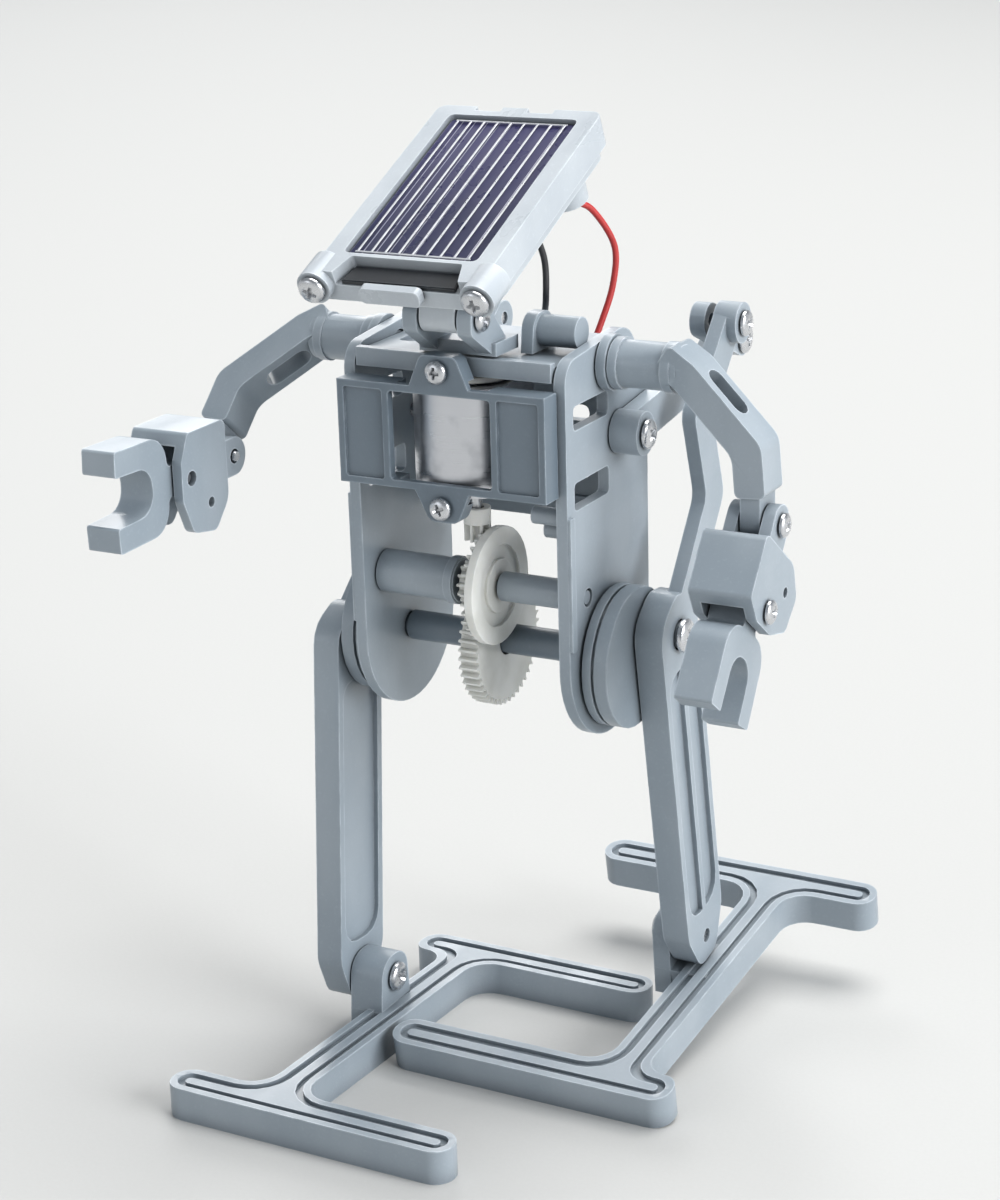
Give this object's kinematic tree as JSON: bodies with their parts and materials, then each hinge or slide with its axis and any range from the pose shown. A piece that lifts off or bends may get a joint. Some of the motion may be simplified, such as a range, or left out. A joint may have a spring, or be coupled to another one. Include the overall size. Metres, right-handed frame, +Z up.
{
  "type": "solar walking robot kit",
  "caption": "Walking toy robot with a tilting solar panel for a head, a motor in its chest, a crank-driven leg linkage, wide feet, and arms ending in pronged claws.",
  "frame": {"origin": "on the ground, under the middle of the robot's bounding box", "axes": "+Z up; the robot faces -Y; its own left side is +X"},
  "size_m": [0.1066, 0.1013, 0.1627],
  "materials": {
    "grey_plastic": "satin moulded ABS, blue-grey",
    "pale_plastic": "satin moulded ABS, pale grey",
    "dark_plastic": "satin dark grey",
    "white_gear": "translucent off-white",
    "steel": "brushed",
    "silicon": "dark blue cell under clear resin",
    "red_wire": "smooth PVC sleeve",
    "black_wire": "smooth PVC sleeve"
  },
  "bodies": {
    "torso": {"side_plate_left": "grey_plastic", "side_plate_right": "grey_plastic", "motor_bracket": "grey_plastic", "motor_can": "steel", "motor_end_cap": "dark_plastic", "top_plate": "grey_plastic", "rear_brace": "grey_plastic", "arbor_tube": "grey_plastic", "neck_post": "grey_plastic", "neck_pin": "steel", "top_tube": "grey_plastic", "shoulder_socket_left": "grey_plastic", "shoulder_socket_right": "grey_plastic", "rear_arm_left": "grey_plastic", "rear_arm_right": "grey_plastic", "rear_arm_screw_left": "steel", "rear_arm_screw_right": "steel", "bracket_screw_upper": "steel", "bracket_screw_lower": "steel", "wire_black": "black_wire", "wire_red": "red_wire"},
    "crank": {"crank_shaft": "dark_plastic", "output_gear": "white_gear", "crank_disc_left": "pale_plastic", "crank_disc_right": "pale_plastic", "crank_screw_left": "steel", "crank_screw_right": "steel"},
    "crown": {"crown_gear": "white_gear"},
    "rotor": {"motor_shaft": "steel", "motor_pinion": "white_gear", "motor_armature": "steel"},
    "head": {"panel_tray": "pale_plastic", "panel_back": "grey_plastic", "solar_cell": "silicon", "cell_contacts": "steel", "panel_screw_left": "steel", "panel_screw_right": "steel", "panel_clip": "pale_plastic"},
    "leg_left": {"leg_left": "grey_plastic", "leg_top_screw_left": "steel"},
    "foot_left": {"foot_left": "grey_plastic", "ankle_screw_left": "steel"},
    "rocker_left": {"rocker_left": "pale_plastic", "rocker_screw_left": "steel"},
    "arm_left": {"arm_left": "grey_plastic"},
    "hand_left": {"hand_left": "grey_plastic", "wrist_screw_left": "steel", "claw_screw_left": "steel"},
    "claw_left": {"claw_left": "pale_plastic"},
    "leg_right": {"leg_right": "grey_plastic", "leg_top_screw_right": "steel"},
    "foot_right": {"foot_right": "grey_plastic", "ankle_screw_right": "steel"},
    "rocker_right": {"rocker_right": "pale_plastic", "rocker_screw_right": "steel"},
    "arm_right": {"arm_right": "grey_plastic"},
    "hand_right": {"hand_right": "grey_plastic", "wrist_screw_right": "steel", "claw_screw_right": "steel"},
    "claw_right": {"claw_right": "pale_plastic"}
  },
  "joints": [
    {"name": "crank_spin", "type": "hinge", "parent": "torso", "child": "crank", "pos_m": [0, 0.0024, 0.0745], "axis": [1, 0, 0], "continuous": true},
    {"name": "crown_spin", "type": "hinge", "parent": "torso", "child": "crown", "pos_m": [0, -0.0056, 0.0867], "axis": [1, 0, 0], "continuous": true},
    {"name": "motor_spin", "type": "hinge", "parent": "torso", "child": "rotor", "pos_m": [0, -0.0056, 0.1], "axis": [0, 0, 1], "continuous": true},
    {"name": "head_tilt", "type": "hinge", "parent": "torso", "child": "head", "pos_m": [0, -0.0161, 0.134], "axis": [1, 0, 0], "range_deg": [-25, 45], "deforming": ["wire_black", "wire_red"]},
    {"name": "leg_swing_left", "type": "hinge", "parent": "crank", "child": "leg_left", "pos_m": [0.0281, 0.00771, 0.0775], "axis": [1, 0, 0], "continuous": true},
    {"name": "ankle_left", "type": "hinge", "parent": "leg_left", "child": "foot_left", "pos_m": [0.0253, 0.01824, 0.01778], "axis": [1, 0, 0], "range_deg": [-8, 8]},
    {"name": "rocker_swing_left", "type": "hinge", "parent": "torso", "child": "rocker_left", "pos_m": [0.025, 0.04395, 0.11996], "axis": [1, 0, 0], "range_deg": [-3, 48]},
    {"name": "shoulder_left", "type": "hinge", "parent": "torso", "child": "arm_left", "pos_m": [0.027, 0.0024, 0.1244], "axis": [1, 0, 0], "continuous": true},
    {"name": "wrist_left", "type": "hinge", "parent": "arm_left", "child": "hand_left", "pos_m": [0.0466, 0.0024, 0.1004], "axis": [1, 0, 0], "range_deg": [-48, 122]},
    {"name": "claw_tilt_left", "type": "hinge", "parent": "hand_left", "child": "claw_left", "pos_m": [0.0466, -0.00639, 0.08874], "axis": [1, 0, 0], "range_deg": [-26, 50]},
    {"name": "leg_swing_right", "type": "hinge", "parent": "crank", "child": "leg_right", "pos_m": [-0.0281, -0.00291, 0.0715], "axis": [1, 0, 0], "continuous": true},
    {"name": "ankle_right", "type": "hinge", "parent": "leg_right", "child": "foot_right", "pos_m": [-0.0253, -0.00714, 0.011], "axis": [1, 0, 0], "range_deg": [-8, 8]},
    {"name": "rocker_swing_right", "type": "hinge", "parent": "torso", "child": "rocker_right", "pos_m": [-0.025, 0.04395, 0.11996], "axis": [1, 0, 0], "range_deg": [-48, 3]},
    {"name": "shoulder_right", "type": "hinge", "parent": "torso", "child": "arm_right", "pos_m": [-0.027, 0.0024, 0.1244], "axis": [1, 0, 0], "continuous": true},
    {"name": "wrist_right", "type": "hinge", "parent": "arm_right", "child": "hand_right", "pos_m": [-0.0466, -0.01303, 0.10601], "axis": [1, 0, 0], "range_deg": [-35, 135]},
    {"name": "claw_tilt_right", "type": "hinge", "parent": "hand_right", "child": "claw_right", "pos_m": [-0.0466, -0.02763, 0.10601], "axis": [1, 0, 0], "range_deg": [-23, 50]}
  ],
  "couplings": [
    {"joint": "leg_swing_left", "follows": "crank_spin", "ratio": -1},
    {"joint": "leg_swing_right", "follows": "crank_spin", "ratio": -1},
    {"joint": "crown_spin", "follows": "crank_spin", "ratio": -3.2143},
    {"joint": "motor_spin", "follows": "crank_spin", "ratio": 14.464}
  ]
}
